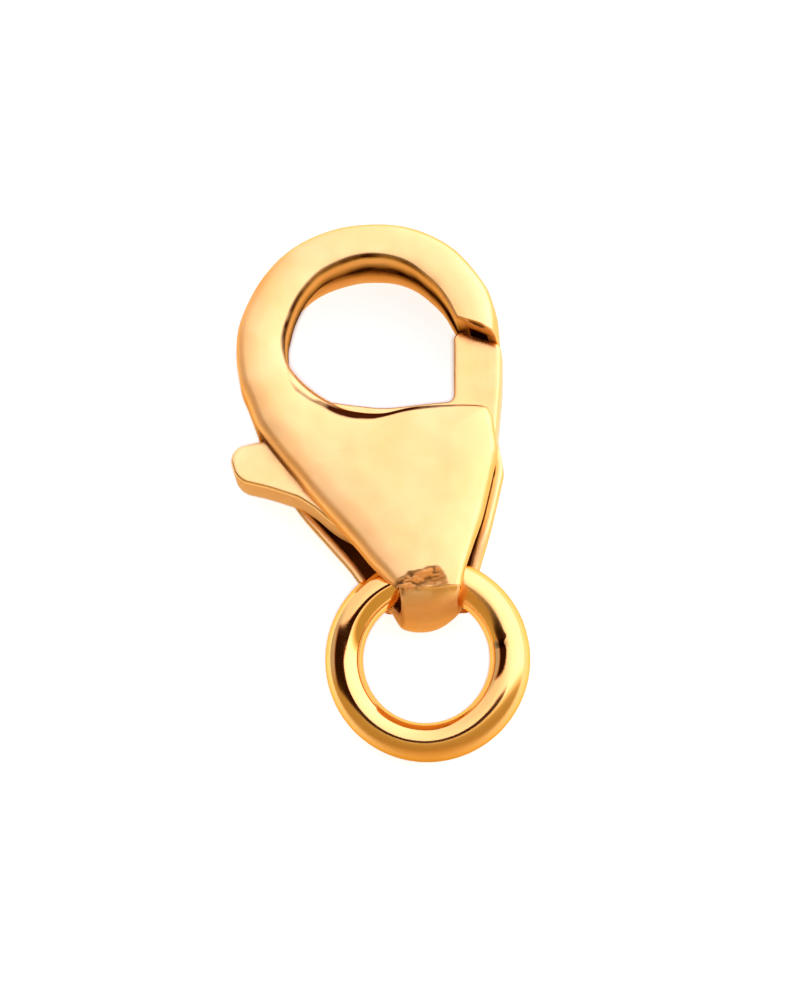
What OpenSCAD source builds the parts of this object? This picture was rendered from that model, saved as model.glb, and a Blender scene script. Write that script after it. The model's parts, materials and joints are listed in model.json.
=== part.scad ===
// Lobster clasp: a stamped hollow body folded from one sheet, a trigger that closes the hook,
// and a jump ring in the tail. It lies on its back, with the hook towards +Y and the front up.
// All lengths are millimetres.

/* [Body] */
// Length from the end of the tail to the top of the hook
body_l = 7.95; // [7.2:0.05:9]
// Width from the left of the hook to the right shoulder
body_w = 5.15; // [4.8:0.05:5.8]
// Depth over the crowns of the two halves
body_d = 2.2; // [2.1:0.05:2.6]
// Thickness of the stamped sheet
sheet = 0.17; // [0.14:0.01:0.19]
// Radius of the rolled edges round the hook
edge_r = 0.2; // [0.16:0.01:0.22]
// Radius of the edges along the open rims
rim_r = 0.12; // [0.08:0.01:0.15]
// Height of a crown above the edges of its face
dome = 0.14; // [0.08:0.01:0.16]
// Distance from an edge to where its face runs level
dome_reach = 1; // [0.8:0.05:1.2]
// Lean of the side walls, wider at the seam
wall_lean = 0.03; // [0:0.01:0.05]
// Gap between the two halves where the seam is closed
seam = 0.04; // [0.03:0.01:0.1]
// Depth left open in the end of the hook, between its two lips
tip_gap = 1; // [0.95:0.05:1.05]

/* [Tail] */
// Depth over the tail loop
tail_d = 1.5; // [1.4:0.05:1.7]
// Inner radius of the two bends of the tail strip
bend_in = 0.04; // [0.03:0.01:0.1]
// How far each edge of the strip draws in at the bends
waist = 0.1; // [0:0.01:0.15]
// How far the right end of the loop is rounded up
tail_round = 0.22; // [0:0.02:0.24]

/* [Trigger] */
// Thickness of the lever
trig_t = 0.9; // [0.7:0.05:0.95]
// Gap between the lever and the rims above and below it
trig_gap = 0.06; // [0.04:0.01:0.1]

/* [Pivot] */
// Diameter of the pivot pin
pin_d = 0.6; // [0.4:0.05:0.7]
// Gap all round between the pin and the lever's bore
pin_fit = 0.03; // [0.02:0.01:0.06]
// Gap between each end of the pin and the sheet
pin_end_gap = 0.05; // [0.04:0.01:0.08]

/* [Jump ring] */
// Outer diameter of the jump ring
ring_d = 4; // [3.8:0.1:4.4]
// Diameter of its wire
wire_d = 0.76; // [0.6:0.02:0.8]
// Height of the wire's centre above the end of the tail, along the body
ring_up = 1.02; // [0.95:0.01:1.1]
// Gap between the wire and the tail strip it rests on
ring_gap = 0.03; // [0.02:0.01:0.05]

/* [Hidden] */

// Sections of one half, from the tip of the hook to the end of the tail. Each is a line across the sheet
// from its outer edge to its inner edge. X is a share of body_w from the left, and Y a share of the length
// from the top of the tail's bends.
// Open: 0 the side wall meets the seam, 1 it clears the lever, 2 it is only the sheet's own edge.
// Tail: 0 full body depth, 1 tail depth.
// Back: how far the back half's edges stand beyond the front's, a share of body_w.
outer_x = 0;
outer_y = 1;
inner_x = 2;
inner_y = 3;
outer_open = 4;
inner_open = 5;
tail = 6;
back_outer = 7;
back_inner = 8;
sections = [
    // outer x, y    inner x, y    open out, in  tail  back out, in
    [0.996, 0.703, 0.848, 0.745, 0, 0.3, 0, 0, 0],
    [0.988, 0.774, 0.810, 0.782, 0, 0.35, 0, 0, 0],
    [0.954, 0.843, 0.754, 0.830, 0, 0.35, 0, 0, 0],
    [0.836, 0.936, 0.671, 0.877, 0, 0.4, 0, 0, 0],
    [0.675, 0.989, 0.595, 0.897, 0, 0.4, 0, 0, 0],
    [0.511, 1.000, 0.511, 0.904, 0, 0.35, 0, 0, 0],
    [0.352, 0.983, 0.424, 0.893, 0, 0.4, 0, 0, -0.006],
    [0.203, 0.933, 0.321, 0.863, 0, 0.35, 0, 0, -0.018],
    [0.091, 0.851, 0.238, 0.798, 0, 0.25, 0, 0, -0.035],
    [0.017, 0.748, 0.200, 0.713, 0, 0.1, 0, 0, -0.030],
    [0.000, 0.668, 0.192, 0.668, 0, 0.05, 0, 0, -0.010],
    [0.013, 0.589, 0.214, 0.630, 0, 0, 0, 0, 0],
    [0.044, 0.533, 0.243, 0.599, 0, 0.1, 0, 0, 0],
    [0.070, 0.488, 0.304, 0.563, 0, 0.85, 0, 0, 0],
    [0.108, 0.456, 0.337, 0.526, 1, 1, 0, 0.010, 0],
    [0.176, 0.379, 0.511, 0.499, 1, 1, 0, 0.040, 0],
    [0.275, 0.297, 0.694, 0.514, 1, 1, 0, 0.046, 0],
    [0.317, 0.263, 0.914, 0.537, 1, 1, 0, 0.046, 0],
    [0.363, 0.227, 0.960, 0.509, 1, 1, 0, 0.046, 0],
    [0.411, 0.189, 0.979, 0.443, 1, 1, 0, 0.046, 0],
    [0.439, 0.167, 0.993, 0.395, 1, 1, 0, 0.046, 0],
    [0.466, 0.146, 0.982, 0.356, 1, 1, 0, 0.046, 0],
    [0.511, 0.107, 0.939, 0.231, 1, 1, 0, 0.046, -0.004],
    [0.557, 0.068, 0.903, 0.152, 1.4, 1.4, 0.05, 0.046, -0.006],
    [0.585, 0.046, 0.872, 0.080, 1.8, 1.8, 0.5, 0.055, -0.004],
    [0.618, 0.030, 0.857, 0.034, 2, 2, 0.9, 0.070, -0.002],
    [0.633, 0.000, 0.842, 0.000, 2, 2, 1, 0.060, 0]
];
// Stations worked out between two rows
steps = 3;

// The lever's outline, clockwise from the gate's top. X and Y as above, r is the corner's radius.
lever = [
    [0.827, 0.718, 0.14],
    [1.003, 0.680, 0.1],
    [0.996, 0.583, 4],
    [0.978, 0.424, 1],
    [0.963, 0.377, 1],
    [0.926, 0.276, 0.6],
    [0.861, 0.197, 0.3],
    [0.755, 0.175, 0.5],
    [0.618, 0.197, 0.8],
    [0.466, 0.183, 0.1],
    [0.372, 0.218, 1.5],
    [0.298, 0.263, 0.3],
    [0.238, 0.291, 0.6],
    [0.113, 0.321, 4],
    [-0.002, 0.338, 0.2],
    [-0.028, 0.415, 0.3],
    [0.101, 0.443, 1],
    [0.338, 0.483, 0.2],
    [0.352, 0.554, 0.08],
    [0.435, 0.533, 1],
    [0.561, 0.524, 2],
    [0.713, 0.534, 2],
    [0.827, 0.540, 0.14]
];
// Place of the pivot, in the same shares
pivot_at = [0.739, 0.265];
// Place of the jump ring across the body, a share of body_w
ring_at = 0.714;
// Left end of the thumb tab, a share of body_w
tab_end = -0.018;

// Rounding of the hook's end: its length, and the least height left under it
tip_reach = 0.2;
tip_floor = 0.04;
// How far a free rim hangs below the sheet's inner face
rim_drop = 0.02;
// Least inner radius of an edge
inner_least = 0.03;
// Smallest fraction used to part two neighbouring points
hair = 0.001;
// Slope allowed for the ring
ring_slope = 12;

half_d = body_d / 2;
half_tail = tail_d / 2;
slot_z = trig_t / 2 + trig_gap;
strip_dome = dome / 3;
bend_r = sheet + strip_dome + rim_drop + bend_in;
tip_drop = half_d - dome - edge_r - tip_gap / 2 - tip_floor;
last_u = len(sections) - 1;
wire_r = wire_d / 2;
ring_axis = ring_d - wire_d;
// The wire curves away under the strip's left edge, and slopes down as it does
ring_over = (ring_at - row(last_u)[outer_x] + row(last_u)[back_outer]) * body_w;
ring_sag = (ring_axis - sqrt(ring_axis * ring_axis - 4 * ring_over * ring_over)) / 2 * sin(ring_slope);
ring_z = wire_r + ring_gap + sheet + strip_dome + ring_sag - half_tail;
ring_tilt = asin((ring_z + half_d - wire_r) / ring_axis);
ring_end = ring_up - ring_axis * cos(ring_tilt) - wire_r;
mid_x = (tab_end * body_w + ring_at * body_w + ring_d / 2) / 2;
mid_y = (body_l + ring_end) / 2;

function mix(a, b, k) = a + (b - a) * k;
function unit(v) = v / norm(v);
function cap(k, low, high) = min(max(k, low), high);
// A point given in shares, in millimetres
function place(x, y) = [x * body_w, bend_r + y * (body_l - bend_r)];
function row(i) = sections[cap(i, 0, last_u)];
function row_point(i, c) = place(row(i)[c], row(i)[c + 1]);
function spline(a, b, c, d, k) =
    b + 0.5 * k * (c - a + k * (2 * a - 5 * b + 4 * c - d + k * (3 * (b - c) + d - a)));
// An edge's point u rows from the tip, on a smooth curve through the rows
function edge_at(u, c) =
    let (i = min(floor(u), last_u - 1))
    spline(row_point(i - 1, c), row_point(i, c), row_point(i + 1, c), row_point(i + 2, c), u - i);
// A column's value u rows from the tip, on straight lines between the rows
function column(u, c) = let (i = min(floor(u), last_u - 1)) mix(row(i)[c], row(i + 1)[c], u - i);
function edge_dir(u, c) =
    let (e = 0.02)
    unit(edge_at(min(u + e, last_u), c) - edge_at(max(u - e, 0), c));
// How much longer a wall's thickness measures along the section line than square to the edge
function slant(u, c, across) =
    let (t = edge_dir(u, c)) 1 / cap(abs(across.x * t.y - across.y * t.x), 0.5, 1);
function wall_z(open, edge_z) =
    open < 1 ? mix(seam / 2, slot_z, open) : mix(slot_z, edge_z - sheet - rim_drop, open - 1);
function wall_r(open, t) = mix(mix(edge_r, rim_r, min(open, 1)), sheet / 2, t);

// The domed face, as [place along the line, height]: it rises from each edge and then runs level
function face(lo, hi, top, rise, pieces) =
    let (reach = min(dome_reach, (hi - lo) * 0.46))
    concat(
        [for (j = [1 : pieces]) [lo + reach * j / pieces, top - rise * pow(1 - j / pieces, 2)]],
        [for (j = [pieces : -1 : 1]) [hi - reach * j / pieces, top - rise * pow(1 - j / pieces, 2)]]);

// Points of one skin of a section: up the outer wall, round its edge, over the face and down the inner
// wall. lo and hi are the walls' places, given as [place along the line, slant, edge radius, foot's height].
function skin(lo, hi, lean, top, rise, turns, pieces) =
    let (
        crown = top - rise,
        from = lo[0] + lo[1] * (lean + lo[2]),
        to = hi[0] - hi[1] * hi[2]
    )
    concat(
        [[lo[0], lo[3]]],
        [for (j = [0 : turns]) let (a = 90 * j / turns)
            [lo[0] + lo[1] * (lean + lo[2] * (1 - cos(a))), crown - lo[2] * (1 - sin(a))]],
        face(from, to, top, rise, pieces),
        [for (j = [turns : -1 : 0]) let (a = 90 * j / turns)
            [hi[0] - hi[1] * hi[2] * (1 - cos(a)), crown - hi[2] * (1 - sin(a))]],
        [[hi[0], hi[3]]]);

// A whole section: the outside, then the inside back to the start. drop lowers the outside near the tip,
// and shut brings the inside down to the lip.
function profile(u, width, k_out, k_in, drop, shut) =
    let (
        t = column(u, tail),
        top = mix(half_d, half_tail, t) - drop,
        rise = mix(dome, strip_dome, t),
        r_out = wall_r(column(u, outer_open), t),
        r_in = wall_r(column(u, inner_open), t),
        lean = wall_lean * (1 - t),
        z_out = wall_z(column(u, outer_open), top - rise),
        z_in = wall_z(column(u, inner_open), top - rise),
        in_top = shut ? tip_gap / 2 + rise : top - sheet,
        least = shut ? inner_least / 3 : mix(inner_least, inner_least / 3, t),
        in_r_out = shut ? least : max(r_out - sheet, least),
        in_r_in = shut ? least : max(r_in - sheet, least),
        floor_z = in_top - rise - max(in_r_out, in_r_in) - hair,
        outside = skin([0, k_out, r_out, z_out], [width, k_in, r_in, z_in], lean, top, rise, 3, 3),
        inside = skin([sheet * k_out, k_out, in_r_out, min(z_out, floor_z)],
            [width - sheet * k_in, k_in, in_r_in, min(z_in, floor_z)], lean, in_top, rise, 1, 2)
    )
    concat(outside, [for (j = [len(inside) - 1 : -1 : 0]) inside[j]]);

// The tip's stations: distance from the end, with the outside rounded over and the inside shut by the lip
tip_marks = concat(
    [for (a = [0, 30, 60]) [tip_reach * (1 - cos(a)), tip_drop * (1 - sin(a)), true]],
    [[sheet - 5 * hair, tip_drop * (1 - sqrt(1 - pow(1 - sheet / tip_reach, 2))), true],
     [sheet + 5 * hair, 0, false]]);
first_run = norm(edge_at(1, outer_x) - edge_at(0, outer_x));

// One station of a half, as points in space. side is 1 for the front half and -1 for the back
function station(u, side, drop, shut) =
    let (
        a0 = edge_at(u, outer_x),
        b0 = edge_at(u, inner_x),
        across = unit(b0 - a0),
        a = side > 0 ? a0 : a0 - across * column(u, back_outer) * body_w,
        b = side > 0 ? b0 : b0 + across * column(u, back_inner) * body_w,
        shape = profile(u, norm(b - a), slant(u, outer_x, across), slant(u, inner_x, across), drop, shut)
    )
    [for (p = shape) [a.x + across.x * p.x, a.y + across.y * p.x, side * p.y]];

run_marks = [for (k = [1 : last_u * steps]) k / steps];
function half(side) = concat(
    [for (m = tip_marks) station(m[0] / first_run, side, m[1], m[2])],
    [for (u = run_marks) station(u, side, 0, false)]);

// The tail strip's way from the front half to the back: a bend, a flat end, a bend
bend_steps = 5;
bend_marks = concat(
    [for (j = [1 : bend_steps]) [90 * j / bend_steps, 1]],
    [for (j = [0 : bend_steps - 1]) [90 + 90 * j / bend_steps, -1]]);
function bend_station(angle, side) =
    let (
        k = angle / 180,
        draw = waist * sin(angle),
        from = edge_at(last_u, outer_x).x - column(last_u, back_outer) * body_w * k + draw,
        to = edge_at(last_u, inner_x).x + column(last_u, back_inner) * body_w * k - draw,
        turn_z = half_tail - bend_r
    )
    [for (p = profile(last_u, to - from, 1, 1, 0, false))
        let (h = p.y - turn_z, lift = tail_round * pow(p.x / (to - from), 2))
        [from + p.x, bend_r + (lift - h) * sin(angle), side * turn_z + h * cos(angle)]];

module body() {
    back = half(-1);
    loops = concat(
        half(1),
        [for (m = bend_marks) bend_station(m[0], m[1])],
        [for (j = [len(back) - 1 : -1 : 0]) back[j]]);
    n = len(loops[0]);
    rows = len(loops);
    sides = [for (i = [0 : rows - 2]) for (j = [0 : n - 1])
        let (a = i * n + j, b = i * n + (j + 1) % n)
        each [[a, b, a + n], [b, b + n, a + n]]];
    first = [for (j = [n - 1 : -1 : 0]) j];
    last = [for (j = [0 : n - 1]) (rows - 1) * n + j];
    color("gold")
        polyhedron(points = [for (l = loops) each l], faces = concat(sides, [first, last]), convexity = 12);
}

// Points round one corner of an outline: an arc that touches the two sides that meet there
function corner(before, at, after, r) =
    let (
        u = unit(before - at),
        v = unit(after - at),
        half_angle = acos(u * v) / 2,
        reach = min(r / tan(half_angle), norm(before - at) * 0.48, norm(after - at) * 0.48),
        turned = 180 - 2 * half_angle,
        pieces = max(1, ceil(turned / 12)),
        radius = reach * tan(half_angle),
        centre = at + unit(u + v) * radius / sin(half_angle),
        start = at + u * reach - centre,
        way = u.x * v.y - u.y * v.x > 0 ? -1 : 1
    )
    [for (j = [0 : pieces])
        let (a = way * turned * j / pieces)
        centre + [start.x * cos(a) - start.y * sin(a), start.x * sin(a) + start.y * cos(a)]];

module trigger() {
    count = len(lever);
    points = [for (l = lever) place(l[0], l[1])];
    outline = [for (i = [0 : count - 1])
        each corner(points[(i + count - 1) % count], points[i], points[(i + 1) % count], lever[i][2])];
    color("goldenrod")
        difference() {
            translate([0, 0, -trig_t / 2]) linear_extrude(trig_t) polygon(outline);
            translate(concat(place(pivot_at.x, pivot_at.y), -trig_t))
                cylinder(h = 2 * trig_t, d = pin_d + 2 * pin_fit, $fn = 48);
        }
}

module pivot_pin() {
    length = body_d - 2 * sheet - 2 * pin_end_gap;
    color("darkgoldenrod")
        translate(concat(place(pivot_at.x, pivot_at.y), -length / 2))
            cylinder(h = length, d = pin_d, $fn = 48);
}

module jump_ring() {
    color("gold")
        translate([ring_at * body_w, ring_up, ring_z])
            rotate([ring_tilt, 0, 0])
                translate([0, -ring_axis / 2, 0])
                    rotate_extrude($fn = 96)
                        translate([ring_axis / 2, 0]) circle(r = wire_r, $fn = 48);
}

// Stands the clasp on the surface, with the middle of its box on the origin
module placed() {
    translate([-mid_x, -mid_y, half_d]) children();
}

placed() body();
placed() trigger();
placed() pivot_pin();
placed() jump_ring();
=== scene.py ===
import json
import math
import bmesh
import bpy
import numpy as np
from mathutils import Matrix, Vector, geometry


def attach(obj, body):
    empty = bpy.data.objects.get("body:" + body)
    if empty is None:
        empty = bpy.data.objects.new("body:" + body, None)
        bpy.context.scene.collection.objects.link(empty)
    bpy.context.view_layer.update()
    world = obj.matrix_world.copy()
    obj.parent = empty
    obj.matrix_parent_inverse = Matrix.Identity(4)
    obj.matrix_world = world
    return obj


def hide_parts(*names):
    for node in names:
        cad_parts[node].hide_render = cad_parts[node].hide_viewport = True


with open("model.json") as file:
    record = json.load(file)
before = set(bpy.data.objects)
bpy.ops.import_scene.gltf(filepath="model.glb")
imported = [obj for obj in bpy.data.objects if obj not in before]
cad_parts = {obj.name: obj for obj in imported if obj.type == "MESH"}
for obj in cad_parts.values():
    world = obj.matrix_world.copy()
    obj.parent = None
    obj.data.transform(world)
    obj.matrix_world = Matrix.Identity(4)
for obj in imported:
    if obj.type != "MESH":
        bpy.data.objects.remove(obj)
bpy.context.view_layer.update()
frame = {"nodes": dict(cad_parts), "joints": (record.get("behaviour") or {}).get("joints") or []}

mm = 0.001
print("frame loaded")

# The body's sizes in millimetres, the same values as the part's source uses, then how finely its skin
# is drawn, the marks of its making, and how dull the polishing left it, with painted shade on the duller
# places
claspSetup = {
    "length": 7.95,             # tail's end to hook's top
    "width": 5.15,
    "depth": 2.2,               # over both crowns
    "sheet": 0.17,
    "edgeRadius": 0.2,          # rolled outer edge round the hook
    "rimRadius": 0.19,          # edges along the open rims
    "insideRadius": 0.02,       # the least inside an edge
    "insideWall": 0.131,        # least height of a wall inside
    "dome": 0.075,              # crown above its edges, where it is widest
    "domeReach": 1.0,           # edge to where the face runs level
    "domeShare": 0.46,          # the most that this takes of a narrow face
    "wallLean": 0.03,           # of the outer wall, from its foot up
    "seam": 0.04,
    "rimBulge": 0.012,          # of a cut edge beyond its two corners
    "tipGap": 1.0,              # open depth in the hook's end
    "tipReach": 0.13,           # over which the hook's end rolls down
    "tipLip": 0.38,             # height of its lowest above the gap
    "tailDepth": 1.5,           # where the tail strip starts and ends
    "bendInner": 0.04,          # least radius inside its bends
    "rimDrop": 0.02,            # of an open rim's cut edge below the sheet
    "waistLeft": 0.15,          # how far the tail strip is drawn in halfway round
    "waistRight": 0.13,
    "roundCentre": 3.533,       # across, where its rounded end reaches furthest
    "roundWidth": 0.86,
    "roundLift": 0.5,           # of that end's corners
    "roundPower": 2.3,
    "stepsPerRow": 14,          # stations for each row of the table
    "facePoints": 46,
    "edgePoints": 7,
    "wallPoints": 4,
    "insidePoints": 14,
    "bendSteps": 5,             # stations for each point of the tail's line
    "lipSteps": 12,             # stations down the hook's end
    "crowding": 0.4,            # of a face's points towards its edges
    "dentDepth": 0.01,          # soft unevenness of the hand-finished faces
    "dentWidths": (1.1, 0.5),
    "seamWave": 0.05,           # of the rough sheet edges along the seam in the eye
    "seamWaves": 2.1,           # for each row of the table
    "struckSlope": 0.45,        # of the struck place where the tail strip turns down
    "struckReach": 0.26,
    "struckSides": (2.95, 4.26),
    "foldDepth": 0.035,         # of the crinkles in it
    "foldSize": (0.2, 0.065),   # along and across a wide one
    "foldFine": (0.09, 0.045),
    "foldSlant": 0.3,
    "notchDepth": 0.09,         # over the lip at the hook's end
    "notchWidth": 0.045,
    "notchAt": 0.08,            # from the hook's end
    "notchTilt": 0.04,
    # Dull makes a point rougher and also paints it redder and darker, as painted shade
    "wallDullAndShade": 0.6,            # of the outer walls
    "edgeDullAndShade": 0.38,           # of the faces beside them
    "edgeReach": 0.5,
    "eyeDullAndShade": (0.33, 0.52),    # of the eye's wall, from its top to the seam
    "stripDullAndShade": 0.47,          # of the tail strip below the struck place
    "lipDullAndShade": 0.25,
    "struckDullAndShade": 0.5,
}

# The tail strip's line from the front half's last station to the back half's: Y from the tail's end,
# Z from mid-depth
tailPath = np.array([
    [0.470, 1.035], [0.370, 0.965], [0.270, 0.875], [0.180, 0.765], [0.105, 0.620], [0.050, 0.430],
    [0.015, 0.200], [0.000, -0.050], [-0.005, -0.300], [0.010, -0.520], [0.050, -0.700],
    [0.130, -0.860], [0.240, -0.965], [0.380, -1.030], [0.460, -1.050],
])

# One row for each section of a half, from the hook's tip to the tail. X is a share of the width,
# and Y a share of the length above the tail's bends. Open: 0 the wall meets the seam, 1 it clears
# the lever, 2 only the sheet's own edge. Tail: how far the depth has gone to the tail's. Round: the
# inner edge's radius in millimetres. The back columns say how far the back half stands out
columnNames = ["outerX", "outerY", "innerX", "innerY", "outerOpen", "innerOpen", "tail", "round",
               "backOuter", "backInner"]
sections = np.array([
    [0.996, 0.693, 0.842, 0.736, 0, 0.35, 0, 0.07, 0, 0],
    [0.988, 0.774, 0.804, 0.786, 0, 0.4, 0, 0.07, 0, 0],
    [0.948, 0.840, 0.754, 0.830, 0, 0.4, 0, 0.06, 0, -0.010],
    [0.830, 0.932, 0.671, 0.877, 0, 0.42, 0, 0.05, 0, -0.0155],
    [0.672, 0.986, 0.595, 0.899, 0, 0.42, 0, 0.05, 0, -0.0175],
    [0.511, 0.998, 0.511, 0.904, 0, 0.42, 0, 0.05, 0, -0.0195],
    [0.354, 0.982, 0.424, 0.893, 0, 0.42, 0, 0.05, 0, -0.0295],
    [0.204, 0.932, 0.321, 0.858, 0, 0.38, 0, 0.06, 0, -0.045],
    [0.092, 0.851, 0.244, 0.796, 0, 0.28, 0, 0.07, 0, -0.062],
    [0.018, 0.748, 0.201, 0.722, 0, 0.12, 0, 0.08, 0, -0.050],
    [0.001, 0.668, 0.192, 0.672, 0, 0.05, 0, 0.1, 0, -0.016],
    [0.013, 0.589, 0.207, 0.624, 0, 0, 0, 0.16, 0, 0],
    [0.044, 0.533, 0.250, 0.586, 0, 0.1, 0, 0.22, 0, 0],
    [0.0765, 0.474, 0.301, 0.5555, 0, 0.85, 0, 0.24, 0, 0],
    [0.103, 0.444, 0.357, 0.5290, 1, 1, 0, 0.2, 0.012, 0],
    [0.176, 0.379, 0.440, 0.5005, 1, 1, 0, 0.12, 0.036, 0],
    [0.230, 0.335, 0.560, 0.491, 1, 1, 0, 0.08, 0.046, 0],
    [0.275, 0.297, 0.700, 0.508, 1, 1, 0, 0.08, 0.050, 0],
    [0.317, 0.263, 0.922, 0.509, 1, 1, 0, 0.1, 0.050, 0],
    [0.363, 0.227, 0.972, 0.490, 1, 1, 0, 0.14, 0.050, 0],
    [0.411, 0.189, 0.986, 0.443, 1, 1, 0, 0.14, 0.050, 0.004],
    [0.439, 0.167, 0.994, 0.395, 1, 1, 0, 0.14, 0.050, 0.008],
    [0.466, 0.146, 0.982, 0.356, 1, 1, 0, 0.14, 0.052, 0.014],
    [0.511, 0.107, 0.939, 0.231, 1, 1, 0, 0.14, 0.056, 0.010],
    [0.557, 0.072, 0.903, 0.152, 1.4, 1.4, 0, 0.12, 0.064, 0.012],
    [0.585, 0.052, 0.872, 0.080, 1.8, 1.8, 0.03, 0.1, 0.072, 0.012],
    [0.615, 0.034, 0.858, 0.034, 2, 2, 0.1, 0.085, 0.072, 0.006],
])

# Upper edge of the struck place at the tail: X and Y in millimetres
struckEdge = np.array([
    [2.95, 0.50], [3.05, 0.58], [3.21, 0.64], [3.41, 0.80], [3.60, 0.82], [3.84, 0.885],
    [4.03, 0.885], [4.10, 0.78], [4.20, 0.56],
])

# Painted shade: dark lines along the inner edge and the rim, where the gaps and creases would be in
# shade: station, strength, distance of the line from the wall and half its width in millimetres
creaseShadeAt = np.array([
    [0, 0, 0.05, 0.03], [2.2, 0.2, 0.03, 0.03], [3, 0.9, 0.03, 0.04], [4, 0.6, 0.03, 0.035],
    [5, 1, 0.03, 0.04], [6, 0.9, 0.03, 0.04], [7, 0.6, 0.04, 0.035], [8, 0.9, 0.04, 0.035],
    [9, 1, 0.05, 0.04], [10, 0.8, 0.05, 0.05], [11, 0.1, 0.1, 0.03], [12, 0.3, 0.3, 0.02],
    [12.6, 0.6, 0.36, 0.025], [13.6, 0.75, 0.33, 0.03], [14.2, 0.9, 0.26, 0.045],
    [14.8, 1.3, 0.2, 0.06], [15.4, 1.4, 0.18, 0.07], [16, 1.4, 0.17, 0.07], [16.5, 1.3, 0.16, 0.065],
    [17, 1.1, 0.14, 0.05], [17.4, 0.8, 0.12, 0.035], [17.8, 0.6, 0.1, 0.03], [18.2, 0.4, 0.1, 0.03],
    [18.8, 0, 0.1, 0.03],
])

# The lever in millimetres. Its depth also sets the slot between the body's open rims
leverSetup = {
    "depth": 0.9,
    "gap": 0.06,                # to the rims above and below
    "edgeRadius": 0.06,
    "boreDiameter": 0.66,
    "pivot": (0.739, 0.265),    # in the sections' shares
    "outlineStep": 0.035,
    "edgePoints": 5,
    "borePoints": 48,
}

stripDome = claspSetup["dome"] / 3
bendRadius = claspSetup["sheet"] + stripDome + claspSetup["rimDrop"] + claspSetup["bendInner"]
halfDepth = claspSetup["depth"] / 2
halfTail = claspSetup["tailDepth"] / 2
slotZ = leverSetup["depth"] / 2 + leverSetup["gap"]
lastRow = len(sections) - 1


def place(share):
    # Shares to millimetres: X times the width, Y times the length above the tail's bends
    share = np.asarray(share, float)
    return np.stack([share[..., 0] * claspSetup["width"],
                     bendRadius + share[..., 1] * (claspSetup["length"] - bendRadius)], -1)


# The part's own millimetres start at the tail's end; the gate's hinge says where that is in the frame
hinge = {joint["name"]: joint for joint in frame["joints"]}
pivotMm = place(leverSetup["pivot"])
gatePivot = hinge["gate_swing"]["pos_m"]
frameShift = np.array([gatePivot[0] / mm - pivotMm[0], gatePivot[1] / mm - pivotMm[1], gatePivot[2] / mm])


def toFrame(points):
    return (np.asarray(points) + frameShift) * mm


def addMesh(name, points, faces, smooth=True):
    # A mesh of these points and faces, as an object at the origin
    mesh = bpy.data.meshes.new(name)
    mesh.from_pydata(points.tolist(), [], faces)
    mesh.polygons.foreach_set("use_smooth", [smooth] * len(mesh.polygons))
    mesh.update()
    piece = bpy.data.objects.new(name, mesh)
    bpy.context.scene.collection.objects.link(piece)
    return piece


def faceOutwards(piece):
    # Every face of a closed shell turned to point out of it
    shell = bmesh.new()
    shell.from_mesh(piece.data)
    bmesh.ops.recalc_face_normals(shell, faces=shell.faces)
    shell.to_mesh(piece.data)
    shell.free()


def setWear(piece, dullAndShade, paintedDark):
    # Dull: how far the polishing wheel missed a point, 0 mirror bright, 1 rougher and redder, the redder
    # colour also being painted shade. Painted dark: how much near-black painted shade or dark reflection lies
    # there
    for name, values in (("dullAndShade", dullAndShade), ("paintedDark", paintedDark)):
        layer = piece.data.attributes.new(name, "FLOAT", "POINT")
        layer.data.foreach_set("value", np.asarray(values, np.float32).ravel())


def gridFaces(rows, cols, closeRows=False):
    # Quads between neighbouring rows and columns of a grid whose columns close into a loop
    i = np.arange(rows if closeRows else rows - 1)[:, None]
    j = np.arange(cols)[None, :]
    here, ahead = i * cols, (i + 1) % rows * cols
    beside = (j + 1) % cols
    return np.stack([here + j, here + beside, ahead + beside, ahead + j], -1).reshape(-1, 4)


def smoothCubic(a, b, c, d, k):
    # The cubic from b to c, as k goes from 0 to 1, that leaves along a to c and arrives along b to d
    return b + 0.5 * k * (c - a + k * (2 * a - 5 * b + 4 * c - d + k * (3 * (b - c) + d - a)))


def blendRows(table, u):
    # Cubics between rows: each column runs smoothly through its values in the table
    i = np.clip(np.floor(u).astype(int), 0, lastRow - 1)
    around = (table[np.clip(i + step, 0, lastRow)] for step in (-1, 0, 1, 2))
    return smoothCubic(*around, (u - i)[:, None])


def steadyRows(table, u):
    # Straight lines between rows, so no column overshoots, with the kinks rounded by an average
    spread = np.linspace(-0.35, 0.35, 9)
    total = 0
    for s in spread:
        v = np.clip(u + s, 0, lastRow)
        i = np.clip(np.floor(v).astype(int), 0, lastRow - 1)
        k = (v - i)[:, None]
        total = total + table[i] * (1 - k) + table[i + 1] * k
    return total / len(spread)


def steadyRandom(i, j, seed):
    # The last digits of a large sine: the same number from 0 to 1 each time for a whole place
    n = np.sin(i * 127.1 + j * 311.7 + seed * 74.7) * 43758.5453
    return n - np.floor(n)


def softNoise(x, y, seed):
    # Value noise from -1 to 1: random numbers at whole places, blended smoothly between them
    i, j = np.floor(x), np.floor(y)
    fx, fy = x - i, y - j
    fx, fy = fx * fx * (3 - 2 * fx), fy * fy * (3 - 2 * fy)
    near = steadyRandom(i, j, seed) * (1 - fx) + steadyRandom(i + 1, j, seed) * fx
    far = steadyRandom(i, j + 1, seed) * (1 - fx) + steadyRandom(i + 1, j + 1, seed) * fx
    return (near * (1 - fy) + far * fy) * 2 - 1


def bump(x, centre, width):
    # A bell: 1 at the centre, 1 / e one width from it
    return np.exp(-((x - centre) / width) ** 2)


def wallFoot(opening, edgeZ):
    # Height of a wall's foot: from the seam at 0 to the lever's slot at 1 and the sheet's edge at 2
    seam, sheet = claspSetup["seam"] / 2, claspSetup["sheet"] + claspSetup["rimDrop"]
    nearSeam = seam + (slotZ - seam) * opening
    pastSlot = slotZ + (edgeZ - sheet - slotZ) * (opening - 1)
    return np.where(opening < 1, nearSeam, pastSlot)


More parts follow.
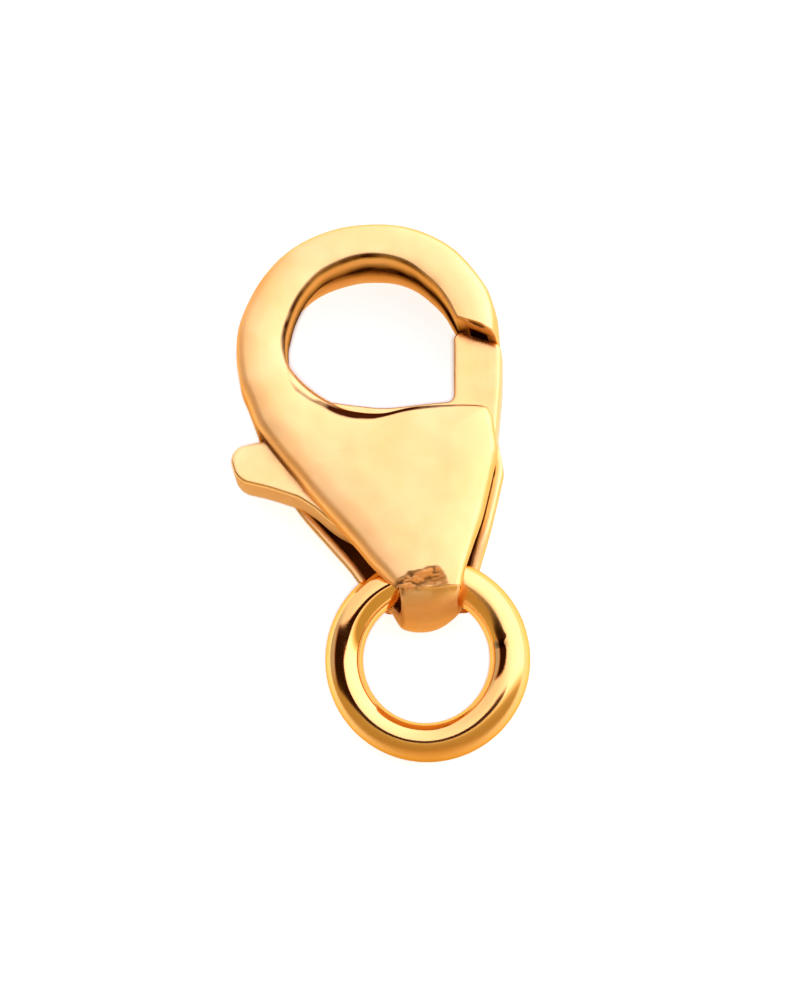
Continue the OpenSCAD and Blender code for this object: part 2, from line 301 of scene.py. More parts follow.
def skin(lo, hi, kLo, kHi, rLo, rHi, footLo, footHi, lean, top, dome, edge, face, wall):
    # Across one section from lo to hi: up the outer wall, over its edge by an arc, the crowned face,
    # down by an arc and the inner wall. The face is z = top - rise (1 - d / reach)^2 for a distance d
    # from its edge below reach, and the arcs stop where they are as steep as that. A k widens what is
    # laid across an edge that runs at a slant, an r is an arc's radius
    reachWide, crowding = claspSetup["domeReach"], claspSetup["crowding"]
    steep = 2 * dome / reachWide * np.ones_like(lo + hi)
    tilt = np.arctan(steep)
    quarter = np.linspace(0, 1, edge)[None, :] * (math.pi / 2 - tilt)
    startX = lo + kLo * (lean + rLo * (1 - np.sin(tilt)))
    endX = hi - kHi * rHi * (1 - np.sin(tilt))
    reach = np.minimum(reachWide, (endX - startX) * claspSetup["domeShare"])
    rise = steep * reach / 2
    crown = top - rise
    k = np.linspace(0, 1, face + 2)[None, 1:-1]
    k = (1 - crowding) * k + crowding / 2 * (1 - np.cos(math.pi * k))
    faceX = startX + (endX - startX) * k
    near = np.minimum(np.minimum(faceX - startX, endX - faceX), reach) / reach
    up = np.linspace(0, 1, wall + 1)[None, :-1]
    arcLo, arcHi = crown - rLo * np.cos(tilt), crown - rHi * np.cos(tilt)
    x = [lo + kLo * lean * up,
         lo + kLo * (lean + rLo * (1 - np.cos(quarter))),
         faceX,
         hi - kHi * rHi * (1 - np.cos(quarter[:, ::-1])),
         hi + 0 * up]
    z = [footLo + (arcLo - footLo) * up,
         arcLo + rLo * np.sin(quarter),
         top - rise * (1 - near) ** 2,
         arcHi + rHi * np.sin(quarter[:, ::-1]),
         footHi + (arcHi - footHi) * up[:, ::-1]]
    return np.concatenate(x, 1), np.concatenate(z, 1)


def sectionShape(values, width, kOut, kIn, drop, shut, wave):
    # One closed loop for each station: the outside across, a cut edge, then the inside back and the
    # other cut edge. Shut: there the hook's end is filled down to its lip
    setup = claspSetup
    tail = values["tail"]
    top = halfDepth + (halfTail - halfDepth) * tail - drop
    strip = np.clip(tail * 10, 0, 1)
    dome = setup["dome"] + (stripDome - setup["dome"]) * strip
    isRim = np.minimum(values["outerOpen"], 1)
    rOut = setup["edgeRadius"] + (setup["rimRadius"] - setup["edgeRadius"]) * isRim
    rOut = rOut + (setup["sheet"] / 2 - rOut) * strip
    rIn = values["round"]
    lean = setup["wallLean"] * (1 - tail)
    edgeZ = top - setup["dome"]
    footOut = wallFoot(values["outerOpen"], edgeZ)
    footIn = wallFoot(values["innerOpen"], edgeZ) + wave
    insideTop = np.where(shut, (setup["tipGap"] + setup["tipLip"]) / 2, top - setup["sheet"])
    least = np.where(shut, setup["insideRadius"] / 2, setup["insideRadius"])
    insideOut = np.where(shut, least, np.maximum(rOut - setup["sheet"], least))
    insideIn = np.where(shut, least, np.maximum(rIn - setup["sheet"], least))
    footMost = insideTop - setup["insideWall"] - np.maximum(insideOut, insideIn)
    fewEdge, fewWall = 3, 2     # points enough for the hidden inside
    outX, outZ = skin(0 * width, width, kOut, kIn, rOut, rIn, footOut, footIn, lean, top, dome,
                      setup["edgePoints"], setup["facePoints"], setup["wallPoints"])
    inX, inZ = skin(setup["sheet"] * kOut, width - setup["sheet"] * kIn, kOut, kIn, insideOut, insideIn,
                    np.minimum(footOut, footMost), np.minimum(footIn, footMost), lean, insideTop, dome,
                    fewEdge, setup["insidePoints"], fewWall)
    cut = np.array([0.25, 0.75])
    cutX = [outX[:, [-1]] + (inX[:, [-1]] - outX[:, [-1]]) * cut,
            outX[:, [0]] + (inX[:, [0]] - outX[:, [0]]) * cut[::-1]]
    cutZ = [np.repeat(np.minimum(outZ[:, [k]], inZ[:, [k]]), 2, 1) - setup["rimBulge"] for k in (-1, 0)]
    return (np.concatenate([outX, cutX[0], inX[:, ::-1], cutX[1]], 1),
            np.concatenate([outZ, cutZ[0], inZ[:, ::-1], cutZ[1]], 1))


def halfLoops(side, u, drop, shut):
    # The stations of one half, side 1 the front and -1 the back: the section's shape laid along the
    # line from its outer to its inner edge
    edges = np.concatenate([place(sections[:, 0:2]), place(sections[:, 2:4])], 1)
    nearby = 0.02               # in rows, to see which way an edge runs
    at = blendRows(edges, u)
    ahead = blendRows(edges, np.minimum(u + nearby, lastRow)) - blendRows(edges, np.maximum(u - nearby, 0))
    steady = steadyRows(sections, u)
    values = {name: steady[:, [k]] for k, name in enumerate(columnNames)}
    a, b = at[:, 0:2], at[:, 2:4]
    across = b - a
    across /= np.linalg.norm(across, axis=1)[:, None]
    slants = []
    for k in (0, 2):
        way = ahead[:, k:k + 2] / np.linalg.norm(ahead[:, k:k + 2], axis=1)[:, None]
        turn = np.abs(across[:, 0] * way[:, 1] - across[:, 1] * way[:, 0])
        slants.append(1 / np.clip(turn, 0.5, 1)[:, None])
    if side < 0:
        a = a - across * values["backOuter"] * claspSetup["width"]
        b = b + across * values["backInner"] * claspSetup["width"]
    width = np.linalg.norm(b - a, axis=1)[:, None]
    atSeam = np.clip(values["innerOpen"] * 8, 0, 1) * (values["innerOpen"] < 0.8)      # not at the slot
    wave = softNoise(u[:, None] * claspSetup["seamWaves"], 0 * width, 5 + side)
    wave = claspSetup["seamWave"] * atSeam * wave
    x, z = sectionShape(values, width, slants[0], slants[1], drop[:, None], shut[:, None], wave)
    return np.stack([a[:, [0]] + across[:, [0]] * x, a[:, [1]] + across[:, [1]] * x, side * z], -1)


def bendLoops():
    # The tail strip: its section laid along the normals of a line of cubics through tailPath, drawn in
    # by waist sin(angle), its rounded end's corners lifted by lift |(x - centre) / width|^power
    setup = claspSetup
    left, right = place(sections[-1, 0:2]), place(sections[-1, 2:4])
    tail, backOuter, backInner = (sections[-1, columnNames.index(name)]
                                  for name in ("tail", "backOuter", "backInner"))
    top = halfDepth + (halfTail - halfDepth) * tail
    lead = np.array([0.14, 0.01])             # from the line's first point back to where it comes from
    first = np.array([left[1], top])
    flip = np.array([1, -1])
    path = np.vstack([first + lead, first, tailPath, first * flip, (first + lead) * flip])
    count = len(tailPath) + 1
    m = np.arange(1, count * setup["bendSteps"]) / setup["bendSteps"]
    i = np.minimum(m.astype(int), count - 1)
    k = (m - i)[:, None]
    a, b, c, d = (path[i + step] for step in range(4))
    at = smoothCubic(a, b, c, d, k)
    way = 0.5 * (c - a) + k * (2 * a - 5 * b + 4 * c - d) + 1.5 * k * k * (3 * (b - c) + d - a)
    normal = np.stack([way[:, 1], -way[:, 0]], -1) / np.linalg.norm(way, axis=1)[:, None]
    part = (m / count)[:, None]
    waist = np.sin(part * math.pi)
    spread = setup["width"] * part ** 1.5
    start = left[0] - backOuter * spread + setup["waistLeft"] * waist
    end = right[0] + backInner * spread - setup["waistRight"] * waist ** 2
    one = np.ones_like(part)
    values = {name: sections[-1, k] * one for k, name in enumerate(columnNames)}
    x, z = sectionShape(values, end - start, one, one, 0 * one, one < 0, 0)
    height = z - top
    endPart = 2 / 3             # how far round the strip's end is lifted most
    weight = np.where(part < endPart, (part / endPart) ** 1.5, np.cos((part - endPart) * 1.5 * math.pi))
    lift = setup["roundLift"] * (np.abs(start + x - setup["roundCentre"]) / setup["roundWidth"]) \
        ** setup["roundPower"]
    return np.stack([start + x, at[:, [0]] + normal[:, [0]] * height + lift * weight,
                     at[:, [1]] + normal[:, [1]] * height], -1)


def bodyLoops():
    # Stations from the hook's end along the front, round the tail and back: near the end they crowd
    # together and drop by a quarter ellipse, so the sheet rolls over into a lip. A station's u counts
    # the rows of the table
    setup = claspSetup
    firstRun = np.linalg.norm(place(sections[1, 0:2]) - place(sections[0, 0:2]))
    reachU, wallU = setup["tipReach"] / firstRun, setup["sheet"] / firstRun
    tipDrop = halfDepth - setup["tipGap"] / 2 - setup["tipLip"]
    turn = np.linspace(0, math.pi / 2, setup["lipSteps"])[:-1]
    beside = 0.004              # two stations this near each other close the lip's inside
    tipU = np.sort(np.concatenate([reachU * (1 - np.cos(turn)), [wallU - beside, wallU + beside],
                                   reachU + np.arange(1, setup["lipSteps"]) * 0.02]))
    reachLeft = np.clip(1 - tipU / reachU, 0, 1)
    tipLow = tipDrop * (1 - np.sqrt(1 - reachLeft ** 2))
    runU = np.arange(1, lastRow * setup["stepsPerRow"] + 1) / setup["stepsPerRow"]
    runU = runU[runU > tipU.max() + 0.03]
    u = np.concatenate([tipU, runU])
    drop = np.concatenate([tipLow, 0 * runU])
    shut = u < wallU
    front, back = halfLoops(1, u, drop, shut), halfLoops(-1, u, drop, shut)
    around = bendLoops()
    rowU = np.concatenate([u, np.full(len(around), float(lastRow)), u[::-1]])
    return np.concatenate([front, around, back[::-1]]), rowU, firstRun


def markSheet(loops, rowU, firstRun):
    # Unevenness of a hand-finished stamping. Dents: soft noise on the faces. Struck place: it slopes
    # down from its upper edge, with folds along thin lines where a soft noise crosses zero. Notch: a
    # lens-shaped groove over the lip at the hook's end. Gives the marked sheet, and from 0 to 1 where
    # painted shade lies in the folds and along the struck place's upper edge, where the struck place is
    # and how deep the notch is, which also paints a dark reflection over the lip
    setup = claspSetup
    x, y, z = loops[..., 0], loops[..., 1], loops[..., 2]
    wide, narrow = setup["dentWidths"]
    onFace = np.clip((np.abs(z) - slotZ) / 0.3, 0, 1)
    dents = softNoise(x / wide, y / wide, 1) + 0.5 * softNoise(x / narrow, y / narrow, 2)

    left, right = setup["struckSides"]
    (foldLong, foldThin), (fineLong, fineThin) = setup["foldSize"], setup["foldFine"]
    onTop = z > 0.5
    below = np.interp(x, struckEdge[:, 0], struckEdge[:, 1]) + 0.02 * softNoise(x / 0.09, y / 0.3, 6) - y
    window = np.clip((x - left) / 0.3, 0, 1) * np.clip((right - x) / 0.4, 0, 1)
    lip = 0.03                  # rounds the struck place's upper edge
    deep = np.sqrt(np.clip(below, 0, setup["struckReach"]) ** 2 + lip ** 2) - lip
    sunk = deep * window * np.clip((y - 0.05) / 0.4, 0, 1) * (z > 0)
    folded = np.clip(below / 0.05, 0, 1) * np.clip(1.7 - below / setup["struckReach"], 0, 1)
    folded = folded * window * onTop
    ridge = np.abs(softNoise(x / foldLong, (y - setup["foldSlant"] * x) / foldThin, 3))
    ridge = ridge + 0.5 * np.abs(softNoise(x / fineLong, y / fineThin, 4))
    # Painted shade: dark in the folds' creases and a dark line along the struck place's upper edge
    brink = bump(below, 0.014, 0.016) * window * onTop
    foldPaintedDark = np.maximum(folded * np.clip(1.45 - ridge * 2.6, 0, 1), brink)

    across = np.linspace(0, 1, setup["facePoints"])
    before = np.full(setup["wallPoints"] + setup["edgePoints"], -1.0)
    after = np.full(loops.shape[1] - len(before) - len(across), -1.0)
    share = np.concatenate([before, across, after])[None, :]      # across the face, -1 off it
    run = rowU[:, None] * firstRun - setup["notchAt"] - setup["notchTilt"] * (share - 0.45)
    lensAt = lensHalf = 0.36    # of the face's width
    lens = np.clip(1 - ((share - lensAt) / lensHalf) ** 2, 0, 1)
    notch = np.clip(1.3 - np.abs(run) / (setup["notchWidth"] * lens + 0.002), 0, 1) * lens ** 0.5
    notch = notch * onTop * (rowU[:, None] < 1) * (np.arange(len(loops)) < len(loops) / 2)[:, None]

    step = dents * setup["dentDepth"] * onFace - sunk * setup["struckSlope"] + \
        (ridge - 0.5) * folded * setup["foldDepth"]
    moved = loops.copy()
    moved[..., 2] += np.sign(z) * step - setup["notchDepth"] * notch
    return moved, foldPaintedDark, folded, notch


def bodyWear(grid, rowU, firstRun, foldPaintedDark, struck, notch):
    # Dull, rougher and painted redder and darker as painted shade: the hollow, the seam's walls in the
    # eye, the sides and the strip's end; the faces and open rims shine. Painted dark, near-black painted
    # shade and dark reflections: the lines along the inner edge, the seam, the folds, the notch and the
    # hollow
    setup = claspSetup
    wall, edge, face = setup["wallPoints"], setup["edgePoints"], setup["facePoints"]
    rows, cols = grid.shape[:2]
    z = grid[..., 2]
    inside = 2 * wall + 2 * edge + face       # a station's first point past the outside
    arcEnd = inside - wall                    # and its first on the inner wall
    eyeEnd = 12.5               # the row where the eye's lower edge begins
    inEye = np.clip(eyeEnd - rowU, 0, 1)[:, None]
    front = (np.arange(rows) < rows / 2)[:, None]
    back = ~front
    onStrip = (rowU == lastRow)[:, None] * (np.arange(cols) < inside)

    steps = np.linalg.norm(np.diff(grid[:, :arcEnd], axis=1), axis=2)
    zero = np.zeros((rows, 1))
    fromOuter = np.concatenate([zero, np.cumsum(steps[:, wall:], axis=1)], 1)
    fromInner = np.concatenate([np.cumsum(steps[:, ::-1], axis=1)[:, ::-1], zero], 1)
    sides = np.interp(rowU, [0, 5.5, 8, 26], [0.12, 0.12, 1, 1])[:, None]
    dullAndShade = np.zeros((rows, cols))
    haze = np.clip(1.32 - fromOuter / setup["edgeReach"], 0, 1) ** 1.2
    dullAndShade[:, wall:arcEnd] = sides * setup["edgeDullAndShade"] * haze
    dullAndShade[:, :wall] = sides * setup["wallDullAndShade"] * (1 - 0.6 * back)
    dullAndShade[:, arcEnd - edge:arcEnd] = np.linspace(0, 0.4, edge) * (0.3 + 0.7 * inEye)
    dullAndShade[:, arcEnd:inside] = np.linspace(*setup["eyeDullAndShade"], wall) * (0.25 + 0.75 * inEye) * (1 + 0.5 * back)
    dullAndShade[:, inside + 2:-2] = 1                # the hollow, then its two cut edges
    dullAndShade[:, inside:inside + 4] = np.array([0.3, 0.3, 0.5, 0.6]) * (0.3 + 0.7 * inEye)
    dullAndShade[:, -4:] = [0.4, 0.2, 0.05, 0.05]
    lip = setup["lipDullAndShade"] * np.clip(1.5 - rowU * firstRun / setup["tipReach"], 0, 1)[:, None]
    dullAndShade[:, :inside] = np.maximum(dullAndShade[:, :inside], lip * (np.abs(z[:, :inside]) > slotZ))
    dullAndShade = np.maximum(dullAndShade, onStrip * setup["stripDullAndShade"] * np.clip((1.06 - z) / 0.3, 0, 1))
    dullAndShade = np.maximum(dullAndShade, np.clip(struck, 0, setup["struckDullAndShade"]))

    # Painted shade: near-black lines along the inner edge and rim, beside the rim on the outer wall, down the
    # seam in the eye and over the hollow
    strength, middle, half = (np.interp(rowU, creaseShadeAt[:, 0], creaseShadeAt[:, k])[:, None] for k in (1, 2, 3))
    beside = np.interp(rowU, [12.8, 13.6, 14.2, 15.5, 17], [0, 0.5, 0.8, 0.5, 0])[:, None]
    paintedDark = np.zeros((rows, cols))
    paintedDark[:, :arcEnd] = front * strength * np.clip(2 - np.abs(fromInner - middle) / half, 0, 1)
    paintedDark[:, inside - 2:inside + 2] = np.array([0.45, 1, 1, 0.9]) * inEye
    paintedDark[:, inside + 4:-4] = 0.55
    paintedDark[:, :wall] = np.maximum(paintedDark[:, :wall], front * beside)
    paintedDark = np.maximum(paintedDark, np.maximum(foldPaintedDark * 0.9, notch))
    return dullAndShade, np.maximum(paintedDark, 0.12 * onStrip * np.clip(z / 0.3, 0, 1))


plainGrid, rowU, firstRun = bodyLoops()
bodyGrid, foldPaintedDark, struck, notch = markSheet(plainGrid, rowU, firstRun)
rows, cols = bodyGrid.shape[:2]
bodyFaces = gridFaces(rows, cols).tolist()
bodyFaces += [list(range(cols))[::-1], list(range((rows - 1) * cols, rows * cols))]     # the two ends
claspBody = addMesh("clasp_body", toFrame(bodyGrid.reshape(-1, 3)), bodyFaces)
faceOutwards(claspBody)
setWear(claspBody, *bodyWear(bodyGrid, rowU, firstRun, foldPaintedDark, struck, notch))
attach(claspBody, "clasp")
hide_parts("body")
print("body", rows, "stations of", cols, "points")

# The lever's outline, clockwise from the gate's top, in the sections' shares, and each corner's radius
leverOutline = np.array([
    [0.827, 0.729, 0.14], [1.005, 0.686, 0.12], [1.003, 0.583, 4], [0.982, 0.424, 1],
    [0.963, 0.377, 1], [0.926, 0.276, 0.6], [0.861, 0.197, 0.3], [0.755, 0.175, 0.5],
    [0.618, 0.197, 0.8], [0.466, 0.183, 0.1], [0.372, 0.218, 1.5], [0.298, 0.263, 0.3],
    [0.238, 0.291, 0.6], [0.113, 0.321, 4], [0.000, 0.339, 0.42], [-0.033, 0.424, 0.38],
    [0.101, 0.443, 1], [0.338, 0.483, 0.2], [0.352, 0.545, 0.08], [0.435, 0.5355, 1],
    [0.561, 0.524, 2], [0.713, 0.534, 2], [0.827, 0.540, 0.14],
])


def roundedOutline(corners):
    # Each corner becomes an arc that touches its two sides, as in the part's source
    points = place(corners[:, :2])
    most = 0.48                 # of a side, taken by one arc
    loop = []
    for k in range(len(points)):
        at, before, after = points[k], points[k - 1], points[(k + 1) % len(points)]
        u = (before - at) / np.linalg.norm(before - at)
        v = (after - at) / np.linalg.norm(after - at)
        halfAngle = math.acos(float(np.clip(u @ v, -1, 1))) / 2
        reach = min(corners[k, 2] / math.tan(halfAngle), most * np.linalg.norm(before - at),
                    most * np.linalg.norm(after - at))
        radius = reach * math.tan(halfAngle)
        centre = at + (u + v) / np.linalg.norm(u + v) * radius / math.sin(halfAngle)
        start = at + u * reach - centre
        turned = math.pi - 2 * halfAngle
        way = -1 if u[0] * v[1] - u[1] * v[0] > 0 else 1
        a = way * turned * np.linspace(0, 1, max(3, math.ceil(turned / math.radians(5))) + 1)
        loop.append(np.stack([centre[0] + start[0] * np.cos(a) - start[1] * np.sin(a),
                              centre[1] + start[0] * np.sin(a) + start[1] * np.cos(a)], -1))
    return np.concatenate(loop)


def evenLoop(loop, gap):
    # The same outline with points an even distance apart
    closed = np.vstack([loop, loop[:1]])
    run = np.concatenate([[0], np.cumsum(np.linalg.norm(np.diff(closed, axis=0), axis=1))])
    marks = np.linspace(0, run[-1], int(run[-1] / gap) + 1)[:-1]
    return np.stack([np.interp(marks, run, closed[:, 0]), np.interp(marks, run, closed[:, 1])], -1)


def atHeights(loops, heights):
    # Flat loops of points, each lifted to its own height
    return np.concatenate([loops, np.broadcast_to(heights[:, None, None], (*loops.shape[:2], 1))], -1)


def leverMesh():
    # The outline carried up the lever's depth, drawn in by a quarter turn at each edge, and flat ends
    # round the pin's bore
    setup = leverSetup
    loop = evenLoop(roundedOutline(leverOutline), setup["outlineStep"])
    ahead = np.roll(loop, -1, 0) - np.roll(loop, 1, 0)
    ahead /= np.linalg.norm(ahead, axis=1)[:, None]
    inward = np.stack([ahead[:, 1], -ahead[:, 0]], -1)       # the outline runs clockwise
    r, half = setup["edgeRadius"], setup["depth"] / 2
    quarter = np.linspace(0, math.pi / 2, setup["edgePoints"])
    inset = np.concatenate([r * (1 - np.cos(quarter)), [1.8 * r]])
    height = np.concatenate([half - r + r * np.sin(quarter), [half]])
    inset, height = np.concatenate([inset[::-1], inset]), np.concatenate([-height[::-1], height])
    rings = atHeights(loop + inward * inset[:, None, None], height)
    n, count = len(loop), setup["borePoints"]
    a = np.linspace(0, 2 * math.pi, count, endpoint=False)
    bore = pivotMm + setup["boreDiameter"] / 2 * np.stack([np.cos(a), np.sin(a)], -1)
    bores = atHeights(np.stack([bore, bore]), np.array([-half, half]))
    points = np.concatenate([rings.reshape(-1, 3), bores.reshape(-1, 3)])
    boreStart = len(inset) * n
    faces = gridFaces(len(inset), n)[:, ::-1].tolist() + (boreStart + gridFaces(2, count)).tolist()
    for top, ring, hole in ((False, 0, boreStart), (True, (len(inset) - 1) * n, boreStart + count)):
        flat = points * (1, 1, 0)
        tris = np.array(geometry.tessellate_polygon([flat[ring:ring + n].tolist(),
                                                     flat[hole:hole + count].tolist()]))
        ids = np.where(tris < n, ring + tris, hole + tris - n)
        one, two = flat[ids[:, 1]] - flat[ids[:, 0]], flat[ids[:, 2]] - flat[ids[:, 0]]
        wrong = (one[:, 0] * two[:, 1] - one[:, 1] * two[:, 0] > 0) != top
        ids[wrong] = ids[wrong, ::-1]
        faces += ids.tolist()
    return points, faces


leverPoints, leverFaces = leverMesh()
lever = addMesh("trigger_lever", toFrame(leverPoints), leverFaces)
# Painted shade: the lever's sides, away from its flat faces, are painted rougher and darker, most at the tab
fromFace = 1 - np.abs(leverPoints[:, 2]) / (leverSetup["depth"] / 2)
sideDullAndShade = np.interp(leverPoints[:, 0], [3.5, 4.5], [1, 0.15])        # brighter at the gate than at the tab
leverDullAndShade = np.clip(fromFace * 4, 0, 1) * sideDullAndShade
setWear(lever, leverDullAndShade, 0 * leverDullAndShade)
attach(lever, "lever")
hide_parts("trigger")
print("lever", len(leverFaces), "faces")

# The jump ring in millimetres, its joint, its wear and its painted shade. Angles start at its right and
# run round by its top, or start at the wire's outside and run round by its front
ringSetup = {
    "diameter": 4.0,
    "wire": 0.76,
    "stepsRound": 280,
    "stepsWire": 72,
    "uneven": 0.035,            # share by which the drawn wire is thicker on its right
    "jointAngle": 13,           # where the soldered joint sits, in degrees
    "jointWidth": 3,
    "jointStep": 0.006,
    "sprung": -0.095,           # how far its ends are sprung out of plane at the joint
    "brushedAndShaded": 0.4,             # how dull filing left its inside above the joint, also painted redder as painted shade
    "brushedAndShadedAt": (50, 32),      # middle and half width of that place, in degrees
    "wornAndShaded": 0.75,               # how dull it is outside at its foot, also painted redder and darker as painted shade
    "wornAndShadedAt": (270, 70),
    "footPaintedDark": 0.12,
    "jointPaintedDarkAt": (-3, 1.95),     # painted dark reflection: degrees from the joint, and radians round the wire
    "jointPaintedDarkHalf": (3.2, 0.28),
}


def ringMesh():
    # A circle of wire round a circle: its radius grows by a cosine towards the right and dips in a
    # bell at the joint, and near the joint a sine springs it out of plane. It is tipped about the hinge
    # until its foot rests on the surface
    setup = ringSetup
    wire = setup["wire"] / 2
    axis = setup["diameter"] - setup["wire"]
    swing = hinge["ring_swing"]["pos_m"]
    tilt = math.asin((swing[2] / mm - wire) / axis)
    theta = np.linspace(0, 2 * math.pi, setup["stepsRound"], endpoint=False)[:, None]
    phi = np.linspace(0, 2 * math.pi, setup["stepsWire"], endpoint=False)[None, :]
    degrees = np.degrees(theta)
    away = degrees - setup["jointAngle"]
    r = wire * (1 + setup["uneven"] * np.cos(theta))
    r = r - setup["jointStep"] * bump(away, 0, setup["jointWidth"])
    rho = axis / 2 + r * np.cos(phi)
    spring = setup["sprung"] * np.sin(theta) * ((1 + np.cos(theta)) / 2) ** 3
    x, y, z = rho * np.cos(theta), rho * np.sin(theta) - axis / 2, r * np.sin(phi) + spring
    cos, sin = math.cos(tilt), math.sin(tilt)
    tipped = np.stack([x, y * cos - z * sin, y * sin + z * cos], -1)

    # Painted shade: rougher and painted redder inside above the joint and outside at the foot, darker still
    # at the foot
    inner = np.clip(-np.cos(phi - 0.2) * 2 + 1.4, 0, 1)
    outer = np.clip(np.cos(phi - 0.3) * 1.5 - 0.3, 0, 1)
    brushedAndShaded = bump(degrees, *setup["brushedAndShadedAt"]) * inner * (away > 0)
    wornAndShaded = bump(degrees, *setup["wornAndShadedAt"]) * outer
    # Painted dark reflection: a black mark at the joint
    (offAt, phiAt), (offHalf, phiHalf) = setup["jointPaintedDarkAt"], setup["jointPaintedDarkHalf"]
    jointPaintedDark = np.clip(1 - np.abs(away - offAt) / offHalf, 0, 1) ** 0.3 * \
        np.clip(1.6 - np.abs(phi - phiAt) / phiHalf, 0, 1)
    dullAndShade = np.clip(setup["brushedAndShaded"] * brushedAndShaded + setup["wornAndShaded"] * wornAndShaded, 0, 1)
    paintedDark = np.maximum(jointPaintedDark, setup["footPaintedDark"] * wornAndShaded)
    return tipped.reshape(-1, 3) * mm + np.array(swing), dullAndShade, paintedDark


ringPoints, ringDullAndShade, ringPaintedDark = ringMesh()
ringFaces = gridFaces(ringSetup["stepsRound"], ringSetup["stepsWire"], True).tolist()
jumpRing = addMesh("jump_ring_wire", ringPoints, ringFaces)
faceOutwards(jumpRing)
setWear(jumpRing, ringDullAndShade, ringPaintedDark)
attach(jumpRing, "ring")
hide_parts("jump_ring")
print("jump ring", len(ringFaces), "faces")


def linearColour(code):
    # An sRGB hex value as linear light
    parts = np.array([int(code[k:k + 2], 16) / 255 for k in (1, 3, 5)])
    lin = np.where(parts <= 0.04045, parts / 12.92, ((parts + 0.055) / 1.055) ** 2.4)
    return (*lin.tolist(), 1.0)


def addNode(tree, kind, settings=None, links=None):
    # A node with its settings, and its inputs set to values or linked from other nodes' outputs
    node = tree.nodes.new(kind)
    for key, value in (settings or {}).items():
        setattr(node, key, value)
    for key, value in (links or {}).items():
        if isinstance(value, bpy.types.NodeSocket):
            tree.links.new(value, node.inputs[key])
        else:
            node.inputs[key].default_value = value
    return node


perMm = 1000.0                  # noise scales count in metres, so this over a size in millimetres


